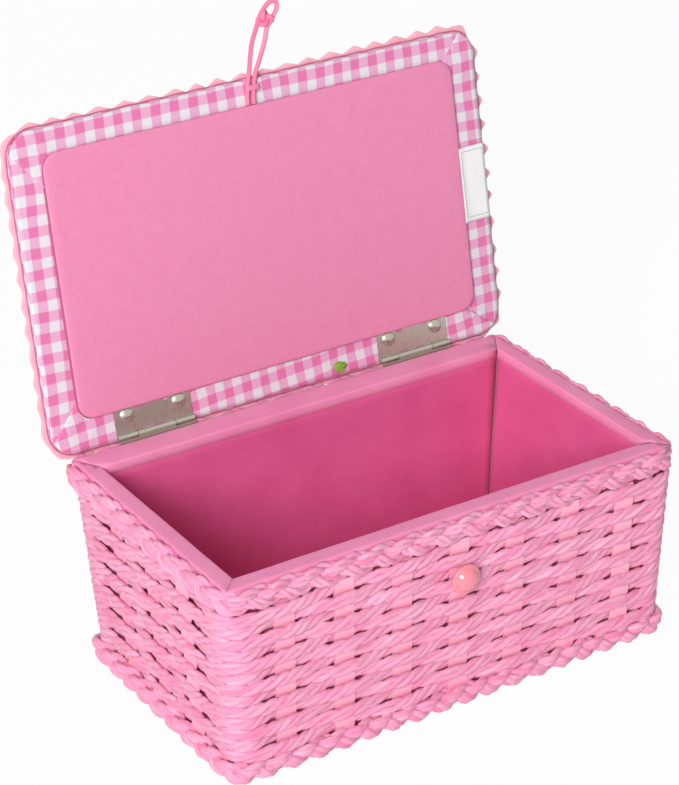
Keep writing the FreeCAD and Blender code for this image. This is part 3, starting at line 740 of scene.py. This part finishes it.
# Profile as (radius, height), from the back over the rim to the top of the dome
BUTTON_PROFILE = [(0.0, 0.0), (5.6, 0.0), (7.2, 0.4), (7.7, 1.0), (7.6, 1.6), (7.1, 2.0), (6.4, 2.1),
                  (5.9, 2.5), (5.1, 3.6), (3.9, 4.6), (2.2, 5.25), (0.0, 5.4)]
BUTTON_PLACE = (0, -75.18, 75.18)


def closing_button():
    """Turned dome with a small rim, on its thread shank."""
    bm = bmesh.new()
    verts, edges = chain(bm, [(radius, 0, height) for radius, height in BUTTON_PROFILE])
    bmesh.ops.spin(bm, geom=verts + edges, cent=(0, 0, 0), axis=(0, 0, 1), angle=2 * pi, steps=40, use_merge=True)
    bmesh.ops.remove_doubles(bm, verts=bm.verts, dist=0.001)
    faced(bm)
    placed = Matrix.Translation(BUTTON_PLACE) @ Matrix.Rotation(pi / 2, 4, "X")
    bmesh.ops.transform(bm, matrix=placed, verts=bm.verts)
    piece("domed_button", bm, ACRYLIC, "box", ["closing_button"])


# Lid

def rounded_grid(half_x, half_y, corner, cell):
    """Flat grid whose corner squares are drawn to quarter rounds."""
    bm = unit_grid(round(2 * half_x / cell), round(2 * half_y / cell))
    bmesh.ops.scale(bm, vec=(2 * half_x, 2 * half_y, 1), verts=bm.verts)
    for vertex in bm.verts:
        a = (abs(vertex.co.x) - half_x + corner) / corner
        b = (abs(vertex.co.y) - half_y + corner) / corner
        if a > 0 and b > 0:
            vertex.co.x = copysign(half_x - corner + corner * a * sqrt(1 - b * b / 2), vertex.co.x)
            vertex.co.y = copysign(half_y - corner + corner * b * sqrt(1 - a * a / 2), vertex.co.y)
    return bm


def to_hinge_line(bm):
    """Moves a shape made about the lid's middle to its place from the hinge line."""
    bmesh.ops.translate(bm, vec=(0, -LID_MIDDLE, 0), verts=bm.verts)


def closed_under(bm, loops, half_x, half_y):
    """Carries the open edge on to loops given as (inset from the last one, height), and closes the last."""
    for inset, height in loops:
        verts = extruded(bm, open_edges(bm))[0]
        bmesh.ops.scale(bm, vec=((half_x - inset) / half_x, (half_y - inset) / half_y, 1), verts=verts)
        for vertex in verts:
            vertex.co.z = height
    bmesh.ops.holes_fill(bm, edges=open_edges(bm))
    faced(bm)


def gingham_map(bm, phase=(0.0, 0.0), turn=0.0):
    """UV map in millimetres that lays the gingham flat on each side of a shape, a little pulled about."""
    uv = bm.loops.layers.uv.verify()
    spin = Matrix.Rotation(radians(turn), 2)
    for face in bm.faces:
        facing = [abs(value) for value in face.normal]
        for loop in face.loops:
            x, y, z = loop.vert.co
            flat = (x, y) if facing[2] >= 0.5 else (x, z) if facing[1] > facing[0] else (z, y)
            pull = noise.noise_vector(loop.vert.co / 17).xy * 0.7
            loop[uv].uv = spin @ (Vector(flat) - Vector(phase)) + pull


def puffed(mesh, held, limit):
    """Cloth simulation: pressure under the cover swells it from its sewn edge, in metres."""
    frames = 20
    mesh.transform(METRES)
    before = [vertex.co.copy() for vertex in mesh.vertices]
    holder = linked("cover", mesh)
    holder.vertex_groups.new(name="held").add(held, 1.0, "REPLACE")
    cloth = holder.modifiers.new("cloth", "CLOTH")
    settings = cloth.settings
    settings.vertex_group_mass = "held"
    settings.use_pressure = True
    settings.uniform_pressure_force = 4.0
    settings.effector_weights.gravity = 0.0
    settings.tension_stiffness = 25
    settings.compression_stiffness = 25
    settings.bending_stiffness = 0.6
    cloth.point_cache.frame_start, cloth.point_cache.frame_end = 1, frames
    scene = bpy.context.scene
    for step in range(1, frames + 1):
        scene.frame_set(step)
    shaped = holder.evaluated_get(bpy.context.evaluated_depsgraph_get()).to_mesh()
    after = [vertex.co.copy() for vertex in shaped.vertices]
    bpy.data.objects.remove(holder)
    for vertex, old, new in zip(mesh.vertices, before, after):
        move = new - old
        vertex.co = old + move * min(1.0, limit / max(move.length, 1e-9))
    scene.frame_set(1)
    mesh.transform(Matrix.Scale(PER_METRE, 4))


CROWN, CROWN_EDGE = 5.2, 24  # the padding's rise, and how far in from the edge it is full
LID_HEM = [(0.0, 3.2), (0.0, 1.4), (0.8, 0.3), (5.0, 0.2), (15.0, 0.2)]


def crown_share(half, place):
    return sin(pi / 2 * min(max(half - abs(place), 0) / CROWN_EDGE, 1))


def lid_cover():
    """Gingham cover over the padding: crowned top, upright edge, and a hem turned under the lid."""
    bm = rounded_grid(LID_SIDE, LID_HALF, LID_CORNER, 5.0)
    crown = [vertex for vertex in bm.verts if not vertex.is_boundary]
    for vertex in bm.verts:
        rise = CROWN * crown_share(LID_SIDE, vertex.co.x) * crown_share(LID_HALF, vertex.co.y)
        vertex.co.z = LID_EDGE + rise
    closed_under(bm, LID_HEM, LID_SIDE, LID_HALF)
    bm.verts.index_update()
    free = {vertex.index for vertex in crown}
    held = [vertex.index for vertex in bm.verts if vertex.index not in free]
    mesh = mesh_from("gingham_cover", bm)
    puffed(mesh, held, 0.004)
    bm = bmesh.new()
    bm.from_mesh(mesh)
    bm.normal_update()
    gingham_map(bm)
    to_hinge_line(bm)
    made = piece("gingham_cover", bm, GINGHAM, "lid", ["lid_cover", "lid_pad"])
    smooth = made.modifiers.new("smooth", "SUBSURF")
    smooth.levels = smooth.render_levels = 1


# Strips of the turned-in border: middle, how high each end lies over its neighbour, a white square of the gingham, its
# slant, and the cuts: a fold line at each end and one under the panel. Places are (across, along the lid)
STRIPS = {
    "front": ((0, 150), (1.1, 0.2), (-100.3, 149.6), 0.0, [
        ((-130.4, 147.5), (-113.3, 126.2)), ((126.0, 157.5), (112.0, 137.0)), ((-140, 110), (140, 110))]),
    "right": ((123, 75), (0.75, 0.2), (127.1, 136.0), 0.0, [
        ((122.6, 156.9), (111.1, 143.2)), ((124.0, -2.0), (112.0, 16.0)), ((90, 0), (90, 150))]),
    "back": ((0, 6), (0.75, 0.75), (-101.5, 9.0), 4.0, [
        ((131.0, -1.0), (112.0, 12.5)), ((-129.0, 6.8), (-112.0, 27.0)), ((-140, 40), (140, 40))]),
    "left": ((-123, 75), (0.2, 0.2), (-119.9, 126.5), -2.3, [
        ((-125.5, 4.0), (-110.0, 22.0)), ((-131.0, 156.0), (-112.0, 134.0)), ((-90, 0), (-90, 150))]),
}
STRIP_HEIGHT, LIFT_SHARE = 0.27, 0.18  # off the lid, and the share of a strip's length over which an end rises
# Pleats drawn into the border at the corners, from the edge to the panel
PLEATS = [((-112.3, 3.8), (-105.6, 11.0)), ((-121.0, 9.0), (-113.0, 16.0)), ((108.0, 4.0), (104.0, 11.0)),
          ((119.0, 141.5), (113.5, 136.5)), ((124.5, 143.0), (118.0, 133.0)), ((119.5, 7.0), (114.5, 20.0)),
          ((-124.0, 150.0), (-113.0, 143.0)), ((-118.0, 154.5), (-110.0, 146.5))]


def flat_lid(place):
    """A place across and along the lid, in the flat lid's frame."""
    return Vector((place[0], -place[1], 0))


def pleat_rise(point):
    """Height of the pleats at a place on the border: a ridge each, with a furrow on both sides."""
    rise = 0.0
    for start, end in PLEATS:
        a, b = flat_lid(start).xy, flat_lid(end).xy
        share = min(max((point - a).dot(b - a) / (b - a).length_squared, 0), 1)
        away = (point - a.lerp(b, share)).length
        rise += 0.8 * exp(-(away / 1.4) ** 2) - 0.35 * exp(-((away - 2.6) / 1.2) ** 2)
    return rise


def border_strips():
    """Four gingham strips turned in round the lid's edge, folded over each other at the corners."""
    inset, cell = 0.3, 2.4
    for name, (middle, (first, last), square, slant, cuts) in STRIPS.items():
        bm = rounded_grid(LID_SIDE - inset, LID_HALF - inset, LID_CORNER - inset, cell)
        to_hinge_line(bm)
        centres = [(face, face.calc_center_median()) for face in bm.faces]
        inner = [face for face, centre in centres
                 if abs(centre.x) < LID_SIDE - 19 and abs(centre.y + LID_MIDDLE) < LID_HALF - 18]
        bmesh.ops.delete(bm, geom=inner, context="FACES")
        for start, end in cuts:
            a, b = flat_lid(start), flat_lid(end)
            normal = (b - a).cross(UP)
            if normal.dot(flat_lid(middle) - a) > 0:
                normal.negate()
            cut_off(bm, a, normal, dist=1e-4)
        bm.normal_update()
        white = flat_lid(square)
        gingham_map(bm, (white.x + CHECK / 2, white.y + CHECK / 2), slant)
        for vertex in bm.verts:
            x, y = vertex.co.x, vertex.co.y + LID_MIDDLE
            across = x / LID_SIDE if name in LONG_SIDES else y / LID_HALF
            share = (across if name in ("front", "right") else -across) / 2 + 0.5
            lift = first * max(0, 1 - share / LIFT_SHARE) + last * max(0, 1 - (1 - share) / LIFT_SHARE)
            waver = 0.12 * noise.noise(vertex.co / 9)
            outer = min(LID_SIDE - abs(x), LID_HALF - abs(y))
            vertex.co += noise.noise_vector(vertex.co / 7) * 0.7 * exp(-max(outer, 0) / 3)
            vertex.co.z = -(STRIP_HEIGHT + lift + waver + max(pleat_rise(vertex.co.xy), -0.1))
        bmesh.ops.reverse_faces(bm, faces=bm.faces)
        thickened(piece("border_" + name, bm, GINGHAM, "lid"), 0.3)


PANEL_ROUND = 1.3  # width of the felt's rounded edge
FELT_EDGE = [(-0.8, -2.6), (-0.4, -2.3), (0.0, -1.95), (4.0, -1.85)]
CARD_EDGE = [(-0.7, -1.9), (-0.7, -0.6), (4.0, -0.6)]


def panel_layer(height, edge, askew=(0.0, 0.0)):
    """One layer of the panel, a little uneven, with its edge carried under it."""
    half_x, half_y = PANEL_SIDE - PANEL_ROUND, (PANEL_END - PANEL_START) / 2 - PANEL_ROUND
    bm = rounded_grid(half_x, half_y, PANEL_CORNER - PANEL_ROUND, 3.0)
    for vertex in bm.verts:
        vertex.co.z = height + 0.1 * noise.noise(vertex.co / 30)
    closed_under(bm, edge, half_x, half_y)
    bmesh.ops.translate(bm, vec=(askew[0], askew[1] - (PANEL_END + PANEL_START) / 2, 0), verts=bm.verts)
    return bm


def lining_panel():
    """Felt with a soft rounded edge on its card, held a little off the border; the card's dark colour paints the
    shadow in the gap under the felt's edge.
    """
    felt = piece("felt_panel", panel_layer(-2.82, FELT_EDGE), FELT, "lid", ["lid_panel"])
    piece("panel_card", panel_layer(-1.9, CARD_EDGE, (-0.35, 0.5)), SHADE_CARD, "lid", sharp=50)


def edge_point(distance, offset):
    """Place at a distance round the lid's edge, moved outwards."""
    straights = (2 * (LID_SIDE - LID_CORNER), 2 * (LID_HALF - LID_CORNER))
    arc = LID_CORNER * pi / 2
    start = Vector((-LID_SIDE + LID_CORNER, -LID_HALF, 0))
    for index in range(4):
        turn = index * pi / 2
        along = Vector((cos(turn), sin(turn), 0))
        outward = Vector((along.y, -along.x, 0))
        straight = straights[index % 2]
        if distance <= straight:
            return start + along * distance + outward * offset
        distance -= straight
        middle = start + along * straight - outward * LID_CORNER
        if distance <= arc:
            bend = distance / LID_CORNER
            return middle + (outward * cos(bend) + along * sin(bend)) * (LID_CORNER + offset)
        distance -= arc
        start = middle + along * LID_CORNER
    return start


# How far the rick-rack's middle stands past each edge of the lid, and how far it waves to each side
TRIM_REACH = {"front": (1.5, 1.1), "right": (1.6, 2.0), "back": (3.1, 0.4), "left": (2.5, 0.7)}
TRIM_HEIGHT, TRIM_WAVE, TRIM_BAND, TRIM_BANDS = 2.3, 12.7, 1.4, 4
LID_ROUND = 4 * (LID_SIDE + LID_HALF - 2 * LID_CORNER) + 2 * pi * LID_CORNER
TRIM_WAVES = round(LID_ROUND / TRIM_WAVE)


def trim_place(distance):
    """Place of the rick-rack's outer edge at a distance round the lid, uneven as it was sewn by hand."""
    edge = edge_point(distance, 0)
    outward = edge_point(distance, 1) - edge
    shares = {"front": max(0, -outward.y) ** 2, "right": max(0, outward.x) ** 2,
              "back": max(0, outward.y) ** 2, "left": max(0, -outward.x) ** 2}
    reach, wave = (sum(shares[side] * TRIM_REACH[side][number] for side in shares) for number in (0, 1))
    # The front's right half stands out further
    reach += shares["front"] * max(0, edge.x / LID_SIDE + 0.2) * 1.4
    wave *= 1 + 0.5 * noise.noise(edge / 40)
    turn = 2 * pi * (distance / LID_ROUND * TRIM_WAVES + 0.25 * noise.noise(edge / 25))
    pointed = cos(turn) + cos(3 * turn) / 9
    return edge + outward * (reach + wave * pointed) + UP * (TRIM_HEIGHT + 0.4 * noise.noise(edge / 11))


def distances(steps):
    """Even distances round the lid, with this many steps for each wave of the trim."""
    return [LID_ROUND * step / (steps * TRIM_WAVES) for step in range(steps * TRIM_WAVES)]


def rick_rack():
    """Wavy braid sewn into the seam round the lid's edge, and a thin dark line inside it: painted shadow of the gap
    between the trim and the turned border.
    """
    bm = bmesh.new()
    edges = chain(bm, [trim_place(distance) for distance in distances(12)], closed=True)[1]
    for _ in range(TRIM_BANDS):
        verts, edges = extruded(bm, edges)
        bmesh.ops.scale(bm, vec=(1 - TRIM_BAND / LID_SIDE, 1 - TRIM_BAND / LID_HALF, 1), verts=verts)
    faced(bm)
    bm.normal_update()
    gingham_map(bm)
    to_hinge_line(bm)
    made = piece("rick_rack", bm, RICK_RACK, "lid", ["rick_rack_trim"])
    braid = made.modifiers.new("braid", "SOLIDIFY")
    braid.thickness = 0.0011
    braid.offset = 0.0
    edge = made.modifiers.new("edge", "BEVEL")
    edge.width = 0.0004
    edge.segments = 2
    # A thin dark tube along the edge inside the trim, following its waves: painted shadow of the gap between the
    # border and the rick-rack
    shade_line = []
    for distance in distances(6):
        wave = trim_place(distance) - edge_point(distance, 0.0)
        shade_line.append(edge_point(distance, 0.2) + wave.xy.to_3d() * 0.14 + UP * 0.7 - Vector((0, LID_MIDDLE, 0)))
    mesh = tubes([shade_line], 0.27, kind="NURBS", sides=1)
    piece("painted_shadow_line", mesh, SHADOW_LINE_THREAD, "lid")


TAG_STITCH, TAG_STITCH_PITCH = 1.0, 1.7


def over_panel(past):
    """How far the tag is lifted by the panel's edge, past the tag's own edge."""
    return 1.2 * max(0, 1 - past / 5) ** 2


def blank_tag():
    """White ribbon tag sewn across the right border, with a line of stitches along each edge."""
    left, right, start, end = 114.2, 130.2, 58.9, 97.9
    bm = unit_grid(10, 24)
    for vertex in bm.verts:
        x = (left + right) / 2 + vertex.co.x * (right - left)
        along = (start + end) / 2 + vertex.co.y * (end - start)
        waver = 0.25 * noise.noise(Vector((x / 9, along / 9, 4)))
        vertex.co = (x, -along, -1.1 - over_panel(x - left) - waver)
    faced(bm)
    made = piece("ribbon_tag", bm, WHITE_RIBBON, "lid", ["lid_tag"])
    thickened(made, 0.4, "ribbon")
    lines = []
    for along in (start + 2.6, end - 2.2):
        for number in range(8):
            x = left + 1.4 + number * TAG_STITCH_PITCH
            lines.append(stitch((x, -along, -1.8), (TAG_STITCH, 0, 0), -0.25))
    for x in (left + 1.3, right - 1.4):
        for number in range(20):
            along = start + 2.8 + number * TAG_STITCH_PITCH
            lines.append(stitch((x, -along, -1.7 - over_panel(x - left)), (0, -TAG_STITCH, 0), -0.25))
    mesh = tubes(lines, 0.2, cyclic=False, sides=1)
    piece("tag_stitches", mesh, GREY_THREAD, "lid")


def thread_tangle():
    """Loose green thread end knotted on the hem."""
    route = []
    for step in range(40):
        turn = step * 1.9
        reach = DICE.uniform(0.8, 4.5)
        height = -0.8 - DICE.uniform(0, 1.6)
        route.append(Vector((31 + reach * cos(turn), -3.4 + reach * 0.72 * sin(turn), height)))
    mesh = tubes([route], 0.7, cyclic=False, kind="NURBS", sides=1)
    piece("green_thread_knot", mesh, GREEN_THREAD, "lid", ["thread_knot"])


# Elastic closing cord, with places as (across the lid, past the bend or along the lid)

LOOP_ROUTE = [(0.5, 1.45), (1.5, 6.4), (3.6, 14.4), (7.0, 20.5), (9.4, 25.6), (12.9, 29.8), (16.6, 32.2),
              (20.0, 31.4), (19.8, 28.0), (16.3, 23.5), (12.6, 19.8), (11.2, 14.4), (8.3, 8.5), (4.6, 1.45)]
LOOP_KNOT, KNOT_SIZE = (12.4, 24.2), 1.25
ROOT_ENDS = ((-2.8, 0.5), (0.6, 4.5))  # across the lid, at the panel and at the bend
ROOT_ROUTE = [(0.0, 144.9, -1.35), (0.2, 149, -1.45), (1.0, 153, -1.5), (2.0, 157, STRAND_HEIGHT)]
ROOT_OVERLAP = 1.7  # a root runs this far into the loop
TIE_TURNS, TIE_STEPS = 5, 8


def past_bend(place):
    return Vector((place[0], -BEND - place[1], STRAND_HEIGHT))


def closing_elastic():
    """Free loop of covered elastic with its knot, the two strands sewn to the lid, and the thread that ties them."""
    to_world = METRES @ OPEN_LID
    route = [to_world @ past_bend(place) for place in LOOP_ROUTE]
    data = line_data([route], False, "NURBS", ELASTIC_RADIUS / 1000, 4)
    data.resolution_u = 12
    data.materials.append(ELASTIC)
    loop = linked("elastic_cord", data)
    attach(loop, "closure_loop")
    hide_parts("elastic_loop")
    turns = []
    for step in range(24):
        turn = 2 * pi * step / 24
        trefoil = Vector((sin(turn) + 2 * sin(2 * turn), cos(turn) - 2 * cos(2 * turn),
                          -1.3 * sin(3 * turn)))
        turns.append(past_bend(LOOP_KNOT) + trefoil * KNOT_SIZE)
    mesh = tubes([turns], ELASTIC_RADIUS * 1.05, kind="NURBS", sides=3)
    knot = piece("overhand_knot", mesh, ELASTIC, "closure_loop", ["elastic_knot"])
    length = length_of(smooth_line(route, False))
    roots = []
    for start, end in ROOT_ENDS:
        root = [Vector((start + shift, -along, height)) for shift, along, height in ROOT_ROUTE]
        roots.append(root + [past_bend((end, ROOT_OVERLAP))])
    mesh = tubes(roots, ELASTIC_RADIUS, cyclic=False, kind="NURBS", sides=4)
    piece("elastic_strands", mesh, ELASTIC, "lid", ["elastic_root"])
    wraps = []
    for step in range(TIE_TURNS * TIE_STEPS):
        turn = 2 * pi * step / TIE_STEPS
        x = 0.7 + 3.6 * copysign(abs(cos(turn)) ** 0.6, cos(turn))
        wraps.append(Vector((x, -151.7 - step * 0.06, -1.5 + 1.5 * sin(turn))))
    mesh = tubes([wraps], 0.35, cyclic=False, kind="NURBS", sides=1)
    piece("thread_wraps", mesh, PINK_THREAD, "lid", ["elastic_tie"])


# Carried-over nodes

def dress_nodes():
    """Finishes of the rigid pieces that keep their own shape."""
    for name, shown in NODES.items():
        finish = NICKEL if name.startswith("hinge_") else PINK_THREAD if name == "button_thread" else BOARD
        shown.data.materials.clear()
        shown.data.materials.append(finish)


# Studio

WHITE = linear("#FFFFFF")
ROOM_LIGHT, FLOOR_REFLECTANCE, FLOOR_GLOW = 0.33, 0.9, 0.95
KEY_PLACE, KEY_AIM, KEY_SIZE, KEY_POWER = Vector((-1.7, -1.55, 1.25)), Vector((0, 0.03, 0.1)), 1.0, 59.0


def showing(tree):
    """1 for rays that show a thing, straight or mirrored, and 0 for those that only carry light."""
    path = node(tree, "LightPath").outputs
    seen = summed(path["Is Camera Ray"], path["Is Glossy Ray"])
    return node(tree, "Math", {0: seen, 1: path["Is Transmission Ray"]},
                operation="ADD", use_clamp=True).outputs[0]


def studio():
    """White floor and room with soft light from the upper left."""
    scene = bpy.context.scene
    scene.view_settings.view_transform = "Standard"
    world = bpy.data.worlds.new("studio")
    scene.world = world
    world.use_nodes = True
    tree = world.node_tree
    tree.nodes.clear()
    room = node(tree, "Background", {"Color": WHITE, "Strength": ROOM_LIGHT})
    white = node(tree, "Background", {"Color": WHITE, "Strength": 1.0})
    mixed = node(tree, "MixShader", {0: showing(tree), 1: room.outputs[0], 2: white.outputs[0]})
    node(tree, "OutputWorld", {"Surface": mixed.outputs[0]})
    lamp = bpy.data.lights.new("key", "AREA")
    lamp.size = KEY_SIZE
    lamp.energy = KEY_POWER
    holder = linked("key", lamp)
    aim = (KEY_AIM - KEY_PLACE).to_track_quat("-Z", "Y").to_matrix().to_4x4()
    holder.matrix_world = Matrix.Translation(KEY_PLACE) @ aim
    bm = bmesh.new()
    bmesh.ops.create_grid(bm, x_segments=1, y_segments=1, size=3.0)
    mesh = mesh_from("floor", bm)
    floor = linked("floor", mesh)
    finish, tree = bare_finish("white_floor")
    share = node(tree, "Math", {0: showing(tree), 1: FLOOR_GLOW}, operation="MULTIPLY")
    matt = node(tree, "BsdfDiffuse", {"Color": (*[FLOOR_REFLECTANCE] * 3, 1)})
    glow = node(tree, "Emission", {"Color": WHITE, "Strength": 1.0})
    mixed = node(tree, "MixShader", {0: share.outputs[0], 1: matt.outputs[0], 2: glow.outputs[0]})
    node(tree, "OutputMaterial", {"Surface": mixed.outputs[0]})
    mesh.materials.append(finish)


view_camera()
closing_elastic()
for row in range(WEAVE_ROWS):
    woven_row(row)
top_plait()
foot_plait()
for side in SIDES:
    stakes(side)
    rim_binding(side)
    wall_lining(side)
binding_stitches()
floor_pad()
closing_button()
lid_cover()
border_strips()
lining_panel()
rick_rack()
blank_tag()
thread_tangle()
dress_nodes()
studio()
